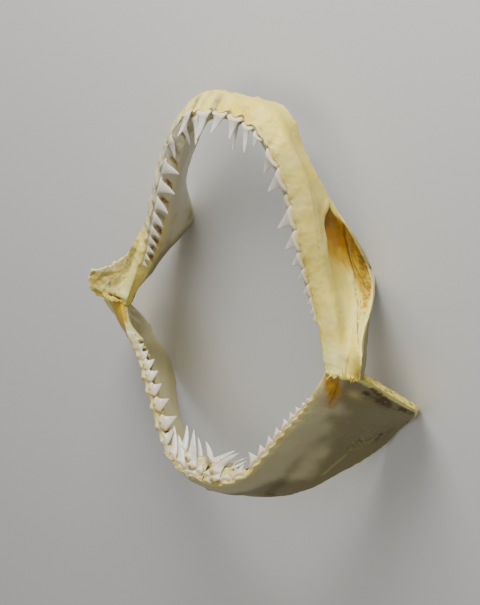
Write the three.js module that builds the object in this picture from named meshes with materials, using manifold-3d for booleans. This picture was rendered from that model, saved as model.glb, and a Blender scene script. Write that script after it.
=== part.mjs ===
// Jaw of a shortfin mako shark, cleaned, dried wide open and lying on its back.
//
// Four cartilages: a palatoquadrate (upper jaw half) and a Meckel's cartilage
// (lower jaw half) on each side, each with its teeth fixed in the gum line.
// They are drawn in the shark's own axes, +X to its left, +Y to its rear and
// +Z up, from a point midway between the two jaw joints, and the whole jaw is
// then laid back until both upper flanges and both lower corners lie on z = 0.

import * as THREE from 'three';
import { mergeVertices } from 'three/addons/utils/BufferGeometryUtils.js';
import Module from 'manifold-3d';

const wasm = await Module();
wasm.setup();

// ---- Driving dimensions, in millimetres and degrees -------------------------

const GAP = 0.3; // dried ligament between two cartilages
const LAY_BACK = -118; // turn about X that lays the gaping jaw on its back
const REST_LEVEL = 64; // height of the joint axis above the floor
const REST_SHIFT = 47.2; // from the joint axis to the middle of the jaw's length
const CUT_REACH = 400; // half-size of the blocks that make the plane cuts

const JOINT_HEIGHT = -2; // height of the jaw joint plane at JOINT_REAR
const JOINT_REAR = -19;
const JOINT_SLOPE = 0.21; // rise of that plane towards the rear

const RINGS = 26; // sections along a cartilage
const SIDE_POINTS = 8; // points down each face of a section

// Rails run along the left half from the symphysis to the jaw joint.
const UPPER = {
  margin: [[0, -119, 206], [20, -122, 203], [42, -123, 196], [67, -110, 173], [82, -91, 143],
    [96, -70, 101], [110, -44, 58], [123, -30, 23], [133, -19, -8]],
  crest: [[0, -111, 224], [22, -113, 225], [50, -107, 218], [72, -103, 194], [93, -86, 162],
    [110, -62, 117], [120, -46, 81], [138, -36, 45], [150, -28, -8]],
  rim: [[0, -98, 226], [22, -94, 230], [42, -90, 230], [56, -86, 218], [66, -70, 196],
    [84, -60, 174], [94, -45, 158], [108, -25, 139], [118, 16, 109], [128, 20, 94], [150, -4, 66],
    [163, -20, 36], [181, -35, 15], [172, -14, -8]],
  rear: [[0, -93, 218], [24, -89, 218], [48, -80, 206], [80, -54, 168], [102, -24, 136],
    [112, 16, 104], [124, 20, 86], [136, 15, 62], [144, 11, 37], [152, 16, -8]],
  gum: [[0, -106, 203], [34, -109, 193], [58, -98, 168], [71, -80, 139],
    [84, -60, 100], [100, -38, 58], [121, -20, 22], [134, -10, -8]],
};
const FOSSA_DEPTH = 9; // hollow for the jaw muscle at its deepest
const LINGUAL_BULGE = 4; // swell of the face behind the teeth
const BACK_HOLLOW = 0.25; // hollow of the rear face, as a share of its width

const LOWER = {
  margin: [[0, 14, -146], [22, 11, -146], [42, 8, -138], [58, 8, -124], [72, 4, -105],
    [95, -3, -70], [113, -8, -43], [127, -18, -23], [139, -25, 4]],
  swell: [[0, 24, -153], [24, 26, -151], [46, 27, -141], [66, 26, -123], [88, 22, -96],
    [110, 18, -68], [132, 12, -43], [150, -2, -22], [166, -16, 2]],
  hollow: [[0, 30, -155], [28, 42, -151], [56, 52, -138], [82, 56, -114], [106, 60, -88],
    [130, 60, -62], [156, 48, -38], [180, 26, -18], [187, 12, -6]],
  ventral: [[0, 34, -155], [22, 44, -151], [46, 62, -145], [66, 76, -135], [86, 82, -121],
    [106, 84, -103], [126, 90, -82], [143, 96, -60], [161, 90, -38], [183, 74, -23], [203, 45, -14]],
};
const FRONT_BED = 24; // thickness at the symphysis, where several rows stand
const TOOTH_BED = 13; // thickness along the side teeth
const PLATE = 5; // thickness of the plate below it
const LINGUAL = [-0.5, 0.86, 0.1]; // way from the outer to the inner face of the lower jaw
const CORNER = 38; // thickness of the flared rear border

// Teeth: place along the row (0 symphysis, 1 joint), height, width, how far the
// tip leans towards the joint and to the rear, and the row counted inwards.
const UPPER_TEETH = {
  left: [
    [0.035, 20, 12, 2, 1, 0], [0.025, 27, 9, 3, 3, 1], [0.105, 25, 12, 8, 4, 0], [0.165, 11, 10, 4, 2, 0],
    [0.255, 19, 15, 8, 3, 0], [0.335, 23, 17, 8, 0, 0], [0.4, 12, 12, 8, 4, 0],
    [0.465, 23, 17, 9, 2, 0], [0.542, 19, 16, 8, 2, 0], [0.607, 13, 14, 4, 1, 0],
    [0.662, 12, 13, 2, 1, 0], [0.714, 12, 12, 3, 1, 0], [0.752, 9, 10, 2, 1, 0],
    [0.782, 7, 9, 2, 0, 0], [0.808, 5, 8, 1, 0, 0],
  ],
  right: [
    [0.03, 19, 12, 7, 0, 0], [0.1, 26, 12, 6, 0, 0], [0.135, 27, 9, 4, -4, 1],
    [0.175, 17, 11, 16, -8, 0], [0.27, 16, 15, 8, 2, 0], [0.345, 19, 17, 0, 0, 0],
    [0.42, 20, 17, -4, 0, 0], [0.5, 20, 17, -3, 0, 0], [0.57, 18, 16, -2, 0, 0],
    [0.63, 13, 14, 1, 0, 0], [0.675, 11, 12, 2, 0, 0], [0.716, 9, 11, 2, 1, 0],
    [0.755, 8, 9, 2, 1, 0], [0.787, 6, 8, 1, 0, 0],
  ],
};
const LOWER_TEETH = {
  left: [
    [0.04, 24, 11, 3, 2, 0], [0.03, 24, 10, 9, 10, 1], [0.14, 20, 11, 11, 9, 0],
    [0.11, 20, 10, 12, 12, 1], [0.235, 15, 11, 9, 5, 0], [0.345, 17, 13, -1, -2, 0],
    [0.408, 13, 13, 2, 1, 0], [0.47, 13, 12, 3, 2, 0], [0.53, 13, 12, 2, 2, 0],
    [0.595, 12, 11, 2, 2, 0], [0.647, 10, 10, 1, 0, 0], [0.692, 8, 9, 0, 0, 0],
    [0.735, 6, 8, 0, 0, 0], [0.77, 5, 7, 0, 0, 0],
  ],
  right: [
    [0.04, 25, 11, 4, 0, 0], [0.04, 25, 10, 8, 0, 1], [0.13, 24, 11, 8, 0, 0],
    [0.11, 25, 10, 10, 0, 1], [0.13, 24, 10, 10, 2, 2], [0.22, 17, 11, 16, -10, 0],
    [0.26, 24, 12, 12, -5, 1], [0.315, 15, 14, 8, -2, 0], [0.398, 20, 16, -1, 2, 0],
    [0.492, 18, 15, -1, 2, 0], [0.562, 13, 13, 1, 0, 0], [0.62, 13, 12, 3, 0, 0],
    [0.677, 12, 11, 1, 0, 0], [0.727, 8, 10, 1, 0, 0], [0.762, 7, 9, 0, 1, 0],
    [0.793, 6, 8, -1, 1, 0], [0.825, 5, 7, -1, 1, 0],
  ],
};
// Way the teeth point at the front and at the sides of each jaw.
const UPPER_BITE = { front: [0, 0.1, -1], side: [-1, 0.1, 0] };
const LOWER_BITE = { front: [0, 0.25, 1], side: [-0.6, 0.15, 0.8] };
const ROOT = 5; // depth of a tooth base in the gum
const SEAT = 4; // distance of the outer row from the margin
const ROW_STEP = 9; // distance between rows

const BONE = { color: 0xd9cd9c, roughness: 0.5, metalness: 0 };

// ---- Curves and sections ----------------------------------------------------

const vec = (p) => new THREE.Vector3(...p);
const mix = (a, b, t) => a.clone().lerp(b, t);
const smooth = (a, b, t) => THREE.MathUtils.smoothstep(t, a, b);
const rail = (points) => new THREE.CatmullRomCurve3(points.map(vec), false, 'centripetal');

function rails(table) {
  return Object.fromEntries(Object.entries(table).map(([name, points]) => [name, rail(points)]));
}

const upperRails = rails(UPPER);
const lowerRails = rails(LOWER);

// Points down one face, from the tooth row to the far edge.
function face(corners, count) {
  const curve = new THREE.CatmullRomCurve3(corners, false, 'centripetal');
  return Array.from({ length: count }, (_, i) => curve.getPoint(i / (count - 1)));
}

function upperSection(t) {
  const { margin, crest, rim, rear, gum } = upperRails;
  const [m, c, r, b, g] = [margin, crest, rim, rear, gum].map((curve) => curve.getPointAt(t));
  const inward = mix(g, b, 0.5).sub(mix(c, r, 0.5)).normalize();
  const depth = FOSSA_DEPTH * smooth(0.3, 0.55, t) * (1 - smooth(0.93, 1, t));
  const fossa = mix(c, r, 0.5).addScaledVector(inward, depth);
  const lingual = mix(g, b, 0.5).addScaledVector(inward, LINGUAL_BULGE);
  const back = mix(r, b, 0.4).addScaledVector(inward, -BACK_HOLLOW * r.distanceTo(b));
  return {
    outer: face([m, c, fossa, r], SIDE_POINTS),
    inner: face([g, lingual, b, back], SIDE_POINTS),
  };
}

function lowerSection(t) {
  const { margin, swell, hollow, ventral } = lowerRails;
  const corners = [margin, swell, hollow, ventral].map((curve) => curve.getPointAt(t));
  const ahead = margin.getTangentAt(t).add(ventral.getTangentAt(t));
  const square = new THREE.Vector3().crossVectors(ahead, corners[3].clone().sub(corners[0]));
  const turn = 0.5 * smooth(0, 0.4, t) + 0.5 * smooth(0.7, 0.95, t);
  const inward = square.normalize().lerp(vec(LINGUAL), turn).normalize();
  const outer = face(corners, SIDE_POINTS);
  const inner = outer.map((point, i) => {
    const down = i / (SIDE_POINTS - 1);
    const row = FRONT_BED + (TOOTH_BED - FRONT_BED) * smooth(0.05, 0.35, t);
    const bed = PLATE + (row - PLATE) * (1 - smooth(0, 0.45, down));
    const border = (CORNER - PLATE) * smooth(0.86, 1, t) * smooth(0.1, 0.5, down);
    return point.clone().addScaledVector(inward, bed + border);
  });
  return { outer, inner };
}

// Closed body through rings that each go down the outer face and back up the
// inner one, with a ladder of triangles over each end.
function loft(section) {
  const rings = Array.from({ length: RINGS }, (_, i) => section(i / (RINGS - 1)));
  const round = 2 * SIDE_POINTS;
  const positions = [];
  for (const { outer, inner } of rings) {
    for (const p of [...outer, ...[...inner].reverse()]) positions.push(p.x, p.y, p.z);
  }
  const index = [];
  for (let k = 0; k < RINGS - 1; k++) {
    for (let i = 0; i < round; i++) {
      const [a, b] = [k * round + i, k * round + ((i + 1) % round)];
      index.push(a, b, b + round, a, b + round, a + round);
    }
  }
  for (let i = 0; i < SIDE_POINTS - 1; i++) {
    const [a, b, c, d] = [i, i + 1, round - 2 - i, round - 1 - i];
    const last = (RINGS - 1) * round;
    index.push(a, c, b, a, d, c);
    index.push(last + a, last + b, last + c, last + a, last + c, last + d);
  }
  const geometry = new THREE.BufferGeometry();
  geometry.setAttribute('position', new THREE.Float32BufferAttribute(positions, 3));
  geometry.setIndex(index);
  return geometry;
}

// ---- Teeth ------------------------------------------------------------------

// Smooth-edged blade with a flat outer and a rounded inner face.
const BLADE = [[1, 0], [0.55, 0.2], [-0.55, 0.2], [-1, 0], [-0.5, -0.42], [0.5, -0.42]];
const TAPER = [[-1, 1], [0.08, 0.96], [0.5, 0.5]]; // [height, half width]

function tooth(root, along, up, out, [, height, width, lean, back]) {
  const positions = [];
  for (const [level, spread] of TAPER) {
    const rise = level < 0 ? -ROOT : level * height;
    const drift = Math.max(level, 0) ** 1.3;
    for (const [side, thick] of BLADE) {
      const p = root.clone().addScaledVector(up, rise)
        .addScaledVector(along, side * spread * width / 2 + drift * lean)
        .addScaledVector(out, thick * Math.sqrt(spread) * width / 2 - drift * back);
      positions.push(p.x, p.y, p.z);
    }
  }
  const tip = root.clone().addScaledVector(up, height)
    .addScaledVector(along, lean).addScaledVector(out, -back);
  positions.push(tip.x, tip.y, tip.z);
  const [n, top] = [BLADE.length, (TAPER.length - 1) * BLADE.length];
  const index = [];
  for (let k = 0; k < TAPER.length - 1; k++) {
    for (let i = 0; i < n; i++) {
      const [a, b] = [k * n + i, k * n + ((i + 1) % n)];
      index.push(a, b, b + n, a, b + n, a + n);
    }
  }
  for (let i = 0; i < n; i++) index.push(top + i, top + ((i + 1) % n), top + n);
  for (let i = 1; i < n - 1; i++) index.push(0, i + 1, i);
  const geometry = new THREE.BufferGeometry();
  geometry.setAttribute('position', new THREE.Float32BufferAttribute(positions, 3));
  geometry.setIndex(index);
  return geometry;
}

function toothRow(curve, section, files, bite) {
  return files.map((file) => {
    const [place, , , , , row] = file;
    const edge = curve.getPointAt(place);
    const along = curve.getTangentAt(place);
    const lingual = section(place).inner[0].sub(edge).normalize();
    const up = mix(vec(bite.front), vec(bite.side), smooth(0.05, 0.35, place));
    up.addScaledVector(along, -up.dot(along)).normalize();
    const out = new THREE.Vector3().crossVectors(along, up).normalize();
    if (out.dot(lingual) > 0) out.negate();
    const root = edge.addScaledVector(lingual, SEAT + ROW_STEP * row).addScaledVector(up, -1);
    return tooth(root, along, up, out, file);
  });
}

// ---- Solids -----------------------------------------------------------------

function solid(geometry) {
  const bare = geometry.index ? geometry.clone() : mergeVertices(geometry.clone());
  bare.deleteAttribute('normal');
  bare.deleteAttribute('uv');
  const merged = mergeVertices(bare, 1e-4);
  const body = new wasm.Manifold(new wasm.Mesh({
    numProp: 3,
    vertProperties: new Float32Array(merged.attributes.position.array),
    triVerts: new Uint32Array(merged.index.array),
  }));
  return body.volume() < 0 ? flipped(merged) : body;
}

function flipped(geometry) {
  const index = Array.from(geometry.index.array);
  for (let i = 0; i < index.length; i += 3) [index[i], index[i + 1]] = [index[i + 1], index[i]];
  return new wasm.Manifold(new wasm.Mesh({
    numProp: 3,
    vertProperties: new Float32Array(geometry.attributes.position.array),
    triVerts: new Uint32Array(index),
  }));
}

// Half space below a plane that passes through a point, as a large block.
function halfSpace(point, normal) {
  const block = new THREE.BoxGeometry(2 * CUT_REACH, 2 * CUT_REACH, 2 * CUT_REACH);
  const away = normal.clone().normalize();
  const turn = new THREE.Quaternion().setFromUnitVectors(new THREE.Vector3(0, 0, 1), away);
  block.applyQuaternion(turn);
  block.translate(...point.clone().addScaledVector(away, -CUT_REACH).toArray());
  return solid(block);
}

const layBack = new THREE.Matrix4().makeRotationX(THREE.MathUtils.degToRad(LAY_BACK));
const floorNormal = new THREE.Vector3(0, 0, 1).transformDirection(layBack.clone().invert());
const floorPoint = floorNormal.clone().multiplyScalar(-REST_LEVEL);
const jointNormal = new THREE.Vector3(0, -JOINT_SLOPE, 1);
const jointPoint = new THREE.Vector3(0, JOINT_REAR, JOINT_HEIGHT);
const sagittal = new THREE.Vector3(GAP / 2, 0, 0);

function jawHalf(section, curve, files, bite, isUpper) {
  let body = solid(loft(section));
  for (const blade of toothRow(curve, section, files, bite)) body = body.add(solid(blade));
  const faceAway = isUpper ? jointNormal : jointNormal.clone().negate();
  const clear = jointPoint.clone().addScaledVector(faceAway, GAP / 2);
  return body
    .subtract(halfSpace(clear, faceAway))
    .subtract(halfSpace(sagittal, new THREE.Vector3(1, 0, 0)))
    .subtract(halfSpace(floorPoint, floorNormal));
}

function mesh(name, body, mirrored) {
  const { vertProperties, triVerts } = (mirrored ? body.mirror([1, 0, 0]) : body).getMesh();
  const geometry = new THREE.BufferGeometry();
  geometry.setAttribute('position', new THREE.BufferAttribute(vertProperties, 3));
  geometry.setIndex(new THREE.BufferAttribute(triVerts, 1));
  geometry.computeVertexNormals();
  const result = new THREE.Mesh(geometry, new THREE.MeshStandardMaterial(BONE));
  result.name = name;
  return result;
}

const jaw = new THREE.Group();
for (const side of ['left', 'right']) {
  const upper = jawHalf(upperSection, upperRails.margin, UPPER_TEETH[side], UPPER_BITE, true);
  const lower = jawHalf(lowerSection, lowerRails.margin, LOWER_TEETH[side], LOWER_BITE, false);
  jaw.add(mesh(`upper_jaw_${side}`, upper, side === 'right'));
  jaw.add(mesh(`lower_jaw_${side}`, lower, side === 'right'));
}
jaw.rotation.x = THREE.MathUtils.degToRad(LAY_BACK);

// The teeth face up and forward, the upper jaw lies nearer the front.
const group = new THREE.Group();
group.add(jaw);
group.rotation.z = Math.PI;
group.position.set(0, REST_SHIFT, REST_LEVEL);
export default group;
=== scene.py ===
import math

import bpy
import numpy as np
from mathutils import Matrix, Vector, noise


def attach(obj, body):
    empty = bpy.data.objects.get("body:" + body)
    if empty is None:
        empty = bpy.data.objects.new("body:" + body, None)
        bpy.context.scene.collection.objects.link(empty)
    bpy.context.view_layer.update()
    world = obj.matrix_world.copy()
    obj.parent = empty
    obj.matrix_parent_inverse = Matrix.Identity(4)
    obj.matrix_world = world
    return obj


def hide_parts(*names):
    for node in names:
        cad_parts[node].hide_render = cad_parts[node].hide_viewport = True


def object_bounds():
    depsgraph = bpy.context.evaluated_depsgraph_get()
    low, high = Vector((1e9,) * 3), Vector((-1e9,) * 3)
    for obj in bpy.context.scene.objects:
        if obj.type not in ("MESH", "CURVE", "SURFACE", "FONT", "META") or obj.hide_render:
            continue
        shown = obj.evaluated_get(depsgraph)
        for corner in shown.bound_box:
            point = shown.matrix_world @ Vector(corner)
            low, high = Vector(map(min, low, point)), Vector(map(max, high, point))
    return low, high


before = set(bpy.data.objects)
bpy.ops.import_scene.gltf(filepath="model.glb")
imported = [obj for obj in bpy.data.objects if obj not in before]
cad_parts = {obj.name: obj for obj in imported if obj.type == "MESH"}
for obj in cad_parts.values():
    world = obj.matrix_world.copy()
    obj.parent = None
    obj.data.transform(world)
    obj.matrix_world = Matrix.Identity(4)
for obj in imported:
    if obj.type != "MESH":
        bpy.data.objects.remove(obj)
cad_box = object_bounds()

# ---- Camera ------------------------------------------------------------------
# A long lens on the middle of the gape. The jaw lies on its back, so the camera
# looks down at it, turned until the upper jaw is at the top of the picture.
PICTURE = (480, 605)  # pixels
DISTANCE = 3.05  # metres to the line between the jaw joints
JOINT_LINE = Vector((0, 0.0472, 0.064))
ACROSS = Vector((-0.752, 0.012, -0.659)).normalized()
BACK = Vector((-0.616, -0.370, 0.696)).normalized()
UPRIGHT = BACK.cross(ACROSS).normalized()
OFF_CENTRE = (0.004, 0.0355)  # metres the lens axis passes beside the joint line
SENSOR = 36.0  # millimetres

lens = bpy.data.cameras.new("camera")
lens.sensor_fit = "HORIZONTAL"
lens.sensor_width = SENSOR
lens.lens = SENSOR * DISTANCE * 1000 / PICTURE[0]
camera = bpy.data.objects.new("camera", lens)
bpy.context.scene.collection.objects.link(camera)
centre = JOINT_LINE + ACROSS * OFF_CENTRE[0] + UPRIGHT * OFF_CENTRE[1]
turn = Matrix((ACROSS, UPRIGHT, BACK)).transposed().to_4x4()
camera.matrix_world = Matrix.Translation(centre + BACK * DISTANCE) @ turn
bpy.context.scene.camera = camera

# ---- Upper jaw: two palatoquadrates -------------------------------------------
# Each is one arched cartilage: a thick bar that carries the teeth, and behind it
# a flange hollowed for the jaw muscle. Cleaned of flesh and dried in the air, it
# is cream where it is thick and amber where it is thin enough to let light through.
LAY_BACK = math.radians(-118)
SHIFT = 47.2  # millimetres from the joint line to the middle of the footprint
LEVEL = 64.0  # height of the joint line above the floor
HALF_GAP = 0.15  # half of the slit between two cartilages
JOINT_POINT = np.array([0, -19, -2])
JOINT_NORMAL = np.array([0, -0.21, 1]) / math.hypot(0.21, 1)
RINGS = 300  # sections along a cartilage
OUTER_POINTS, RIM_POINTS, INNER_POINTS, BED_POINTS = 76, 8, 66, 22
FOSSA_DEPTH, INNER_SWELL = 9, 4  # millimetres
ROUNDED = 0.8, 1.2, 1.6  # millimetres faces stop short of the margin, rim and inner rim

# Rails in the shark's own axes, millimetres: x to its left, y to its rear, z up.
UPPER = {
    "margin": [[0, -119, 206], [20, -122, 203], [42, -123, 196], [67, -110, 173],
               [82, -91, 143], [96, -70, 101], [110, -44, 58], [123, -30, 23], [133, -19, -8]],
    "crest": [[0, -111, 224], [22, -113, 225], [50, -107, 218], [72, -103, 194],
              [93, -86, 162], [110, -62, 117], [120, -46, 81], [138, -36, 45], [150, -28, -8]],
    "rim": [[0, -98, 226], [22, -94, 230], [42, -90, 230], [56, -86, 218], [66, -70, 196],
            [84, -60, 174], [94, -45, 158], [108, -25, 139], [118, 16, 109], [128, 20, 94],
            [150, -4, 66], [163, -20, 36], [181, -35, 15], [172, -14, -8]],
    "rear": [[0, -93, 218], [24, -89, 218], [48, -80, 206], [80, -54, 168], [102, -24, 136],
             [112, 16, 104], [124, 20, 86], [136, 15, 62], [144, 11, 37], [152, 16, -8]],
    "gum": [[0, -106, 203], [34, -109, 193], [58, -98, 168], [71, -80, 139],
            [84, -60, 100], [100, -38, 58], [121, -20, 22], [134, -10, -8]],
}


def centripetal(points, count=40):
    """A smooth line through points, with count steps in each span."""
    p = np.asarray(points, float)
    p = np.concatenate([[2 * p[0] - p[1]], p, [2 * p[-1] - p[-2]]])
    s = np.linspace(0, 1, count, endpoint=False)[:, None]
    line = []
    for p0, p1, p2, p3 in zip(p, p[1:], p[2:], p[3:]):
        spans = np.linalg.norm([p1 - p0, p2 - p1, p3 - p2], axis=1)
        d0, d1, d2 = np.maximum(spans**0.5, 1e-6)
        out = ((p1 - p0) / d0 - (p2 - p0) / (d0 + d1) + (p2 - p1) / d1) * d1
        into = ((p2 - p1) / d1 - (p3 - p1) / (d1 + d2) + (p3 - p2) / d2) * d1
        line.append(p1 + out * s + (3 * (p2 - p1) - 2 * out - into) * s**2
                    + (2 * (p1 - p2) + out + into) * s**3)
    return np.concatenate(line + [p[-2:-1]])


def lengths(line):
    return np.concatenate([[0], np.cumsum(np.linalg.norm(np.diff(line, axis=0), axis=1))])


def between(places, known, points):
    """Points at places between points whose own places are known."""
    return np.stack([np.interp(places, known, points[:, k]) for k in range(3)], -1)


def at(line, places):
    """Points at places 0 to 1 along a line, by its length."""
    run = lengths(line)
    return between(places, run / run[-1], line)


def smooth(a, b, x):
    """0 up to a, rising to 1 at b."""
    x = np.clip((x - a) / (b - a), 0, 1)
    return x * x * (3 - 2 * x)


def fade(a, b, x):
    return 1 - smooth(a, b, x)


def stretch(x, a, b, c, d):
    """1 from b to c, falling smoothly to 0 at a and at d."""
    return smooth(a, b, x) * fade(c, d, x)


def hump(x, middle, half):
    """1 at the middle, falling to 0 at about one and a half times half."""
    return np.exp(-((x - middle) / half) ** 2)


def unit(v):
    return v / np.maximum(np.linalg.norm(v, axis=-1, keepdims=True), 1e-9)


def face(corners, count, near, far):
    """count points down a face, near and far millimetres short of its two edges,
    with each point's place 0 to 1 by corners."""
    points = np.zeros((len(corners[0]), count, 3))
    places = np.zeros((len(corners[0]), count))
    for i, ring in enumerate(zip(*corners)):
        line = centripetal(ring, 16)
        run = lengths(line)
        want = np.linspace(near, run[-1] - far, count)
        points[i] = at(line, want / run[-1])
        places[i] = np.interp(want, run, np.linspace(0, 1, len(run)))
    return points, places


def rolled(start, before, end, after, count, reach):
    """A rounded edge from start to end that leaves along the two faces."""
    s = np.linspace(0, 1, count + 2)[1:-1][None, :, None]
    gap = np.linalg.norm(end - start, axis=-1, keepdims=True)
    handle = np.minimum(gap * 0.7, reach)
    a = (start + unit(start - before) * handle)[:, None]
    b = (end + unit(end - after) * handle)[:, None]
    start, end = start[:, None], end[:, None]
    return start * (1 - s) ** 3 + 3 * a * s * (1 - s) ** 2 + 3 * b * s**2 * (1 - s) + end * s**3


def fractal(points, octaves, fineness=0.9):
    """Fractal noise of about -1 to 1 at each point."""
    flat = np.reshape(points, (-1, 3))
    values = [noise.fractal(Vector(p), fineness, 2.0, octaves) for p in flat]
    return np.reshape(values, np.shape(points)[:-1])


LINE_END = 0.015  # how far along t a line on the skin takes to fade at each end
SLIP_POINT = 10  # the point on a ring that gives the way down the outer face


class Cartilage:
    """A closed skin of rings, each going down the outer face, round the rim, up the
    inner face and over the tooth bed. t runs along it, and v down each face and across
    the bed from the gum to the margin; part says which of the four a point is on."""

    def __init__(self, outer, outer_v, inner, inner_v, rim_reach, bed_reach, upper):
        rim = rolled(outer[:, -1], outer[:, -2], inner[:, -1], inner[:, -2], RIM_POINTS, rim_reach)
        bed = rolled(inner[:, 0], inner[:, 1], outer[:, 0], outer[:, 1], BED_POINTS, bed_reach)
        grid = np.concatenate([outer, rim, inner[:, ::-1], bed], 1)
        n = len(grid)
        one = np.ones((n, 1))
        across = np.linspace(0, 1, BED_POINTS + 2)[None, 1:-1]
        counts = [OUTER_POINTS, RIM_POINTS, INNER_POINTS, BED_POINTS]
        self.part = np.repeat([0, 1, 2, 3], counts)[None] * one
        self.v = np.concatenate([outer_v, one * np.ones((1, RIM_POINTS)), inner_v[:, ::-1],
                                 one * across], 1)
        self.t = np.linspace(0, 1, n)[:, None] * np.ones((1, grid.shape[1]))
        self.grid, self.upper = grid, upper
        self.end_at_joint()
        self.grid[..., 0] = np.maximum(self.grid[..., 0], HALF_GAP)
        self.rise = np.zeros(self.t.shape)
        self.slide = np.zeros(self.grid.shape)

    def end_at_joint(self):
        """Draws every lengthwise line back until it ends on the plane of the joint."""
        side = 1 if self.upper else -1
        clear = side * ((self.grid - JOINT_POINT) @ JOINT_NORMAL) - HALF_GAP
        n = len(self.grid)
        for j in range(self.grid.shape[1]):
            past = np.nonzero(clear[:, j] < 0)[0]
            if len(past) == 0 or past[0] == 0:
                continue
            k = past[0]
            end = k - 1 + clear[k - 1, j] / (clear[k - 1, j] - clear[k, j])
            rows = np.linspace(0, end, n)
            for table in (self.v, self.t):
                table[:, j] = np.interp(rows, np.arange(n), table[:, j])
            self.grid[:, j] = between(rows, np.arange(n), self.grid[:, j])

    def normals(self):
        along = np.gradient(self.grid, axis=0)
        down = np.roll(self.grid, -1, 1) - np.roll(self.grid, 1, 1)
        out = unit(np.cross(down, along))
        from_middle = self.grid - self.grid.mean(1, keepdims=True)
        return out * np.sign((out * from_middle).sum())

    def rough(self, scale, octaves=3, seed=0.0):
        """Fractal noise of about -1 to 1, with bumps scale millimetres across."""
        return fractal(self.grid / scale + seed, octaves)

    def streaks(self, across, along, seed=0.0):
        """Noise of about -1 to 1 drawn out lengthwise, across by along millimetres."""
        first, left = self.grid[:1], self.grid[:, :1]
        run = np.cumsum(np.linalg.norm(np.diff(self.grid, axis=0, prepend=first), axis=-1), 0)
        down = np.cumsum(np.linalg.norm(np.diff(self.grid, axis=1, prepend=left), axis=-1), 1)
        return fractal(np.stack([run / along, down / across, np.full(run.shape, seed)], -1), 3)

    def depth(self):
        """Length of the outer face from edge to edge, for every point's own ring."""
        face_points = self.grid[:, self.part[0] == 0]
        return np.linalg.norm(np.diff(face_points, axis=1), axis=-1).sum(1)[:, None]

    def near_lines(self, lines):
        """By name, 1 on a line of (t, v) points down the outer face, falling to 0 about
        its width in millimetres off it and at its two ends."""
        masks, depth = {}, self.depth()
        for name, (width, line) in lines.items():
            t, v = np.array(line).T
            off = (self.v - np.interp(self.t, t, v)) * depth
            begins = smooth(t[0] - LINE_END, t[0] + LINE_END, self.t)
            ends = fade(t[-1] - LINE_END, t[-1] + LINE_END, self.t)
            masks[name] = hump(off, 0, width) * begins * ends * (self.part == 0)
        return masks

    def spot(self, t, v, half_t, half_v, part=0):
        """1 at one place of a part, falling to 0 round it."""
        return hump(self.t, t, half_t) * hump(self.v, v, half_v) * (self.part == part)

    def near_teeth(self, teeth, half):
        return np.clip(sum(hump(self.t, place, half) for place in teeth), 0, 1)

    def slip_down(self, amount):
        """Slides points down the outer face by an amount in millimetres."""
        down_face = unit(self.grid[:, SLIP_POINT] - self.grid[:, 0])[:, None]
        self.slide += amount[..., None] * down_face


def upper_skin():
    t = np.linspace(0, 1, RINGS)
    margin, crest, rim, rear, gum = (at(centripetal(UPPER[k]), t) for k in UPPER)
    inward = unit((gum + rear) / 2 - (crest + rim) / 2)
    depth = FOSSA_DEPTH * stretch(t, 0.3, 0.55, 0.93, 1)
    fossa = (crest + rim) / 2 + inward * depth[:, None]
    lingual = (gum + rear) / 2 + inward * INNER_SWELL
    width = np.linalg.norm(rim - rear, axis=1)[:, None]
    back = rim * 0.6 + rear * 0.4 - inward * 0.25 * width
    at_margin, at_rim, inside_rim = ROUNDED
    outer = face([margin, crest, fossa, rim], OUTER_POINTS, at_margin, at_rim)
    inner = face([gum, lingual, rear, back, rim], INNER_POINTS, at_margin, inside_rim)
    return Cartilage(*outer, *inner, inside_rim, at_rim, True)


def laid(points, mirrored):
    """From the shark's own millimetres to metres in the pose it lies in."""
    x, y, z = np.moveaxis(np.asarray(points, float), -1, 0)
    x = x if not mirrored else -x
    c, s = math.cos(LAY_BACK), math.sin(LAY_BACK)
    placed = np.stack([-x, SHIFT - (y * c - z * s), LEVEL + y * s + z * c], -1)
    return np.clip(placed / 1000, *cad_box)


def mesh_piece(name, points, faces, masks, material):
    """An object of a mesh with outward normals and one number per point for each mask."""
    data = bpy.data.meshes.new(name)
    data.from_pydata([tuple(p) for p in points], [], faces)
    data.update()
    for mask, values in masks.items():
        attribute = data.attributes.new(mask, "FLOAT", "POINT")
        attribute.data.foreach_set("value", np.asarray(values, np.float32))
    piece = bpy.data.objects.new(name, data)
    bpy.context.scene.collection.objects.link(piece)
    bpy.ops.object.select_all(action="DESELECT")
    piece.select_set(True)
    bpy.context.view_layer.objects.active = piece
    bpy.ops.object.mode_set(mode="EDIT")
    bpy.ops.mesh.select_all(action="SELECT")
    bpy.ops.mesh.normals_make_consistent(inside=False)
    bpy.ops.object.mode_set(mode="OBJECT")
    bpy.ops.object.shade_smooth()
    data.materials.append(material)
    return piece


def ring_faces(rings, sides, start=0):
    """Faces of a closed skin of rings, with a cap on each end."""
    ring = np.arange(sides)
    faces = []
    for first in range(start, start + (rings - 1) * sides, sides):
        a, b = first + ring, first + np.roll(ring, -1)
        faces += np.stack([a, b, b + sides, a + sides], -1).tolist()
    last = start + (rings - 1) * sides
    return faces + [(start + ring).tolist(), (last + ring).tolist()[::-1]]


def skin_piece(name, skin, mirrored, masks, material):
    """The finished cartilage, with its relief raised, its two ends closed and its masks
    held to 0 to 1."""
    shaped = skin.grid + skin.normals() * skin.rise[..., None] + skin.slide
    shaped[..., 0] = np.maximum(shaped[..., 0], HALF_GAP)
    return mesh_piece(name, laid(shaped, mirrored).reshape(-1, 3), ring_faces(*skin.t.shape),
                      {k: np.clip(v, 0, 1).ravel() for k, v in masks.items()}, material)


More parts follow.
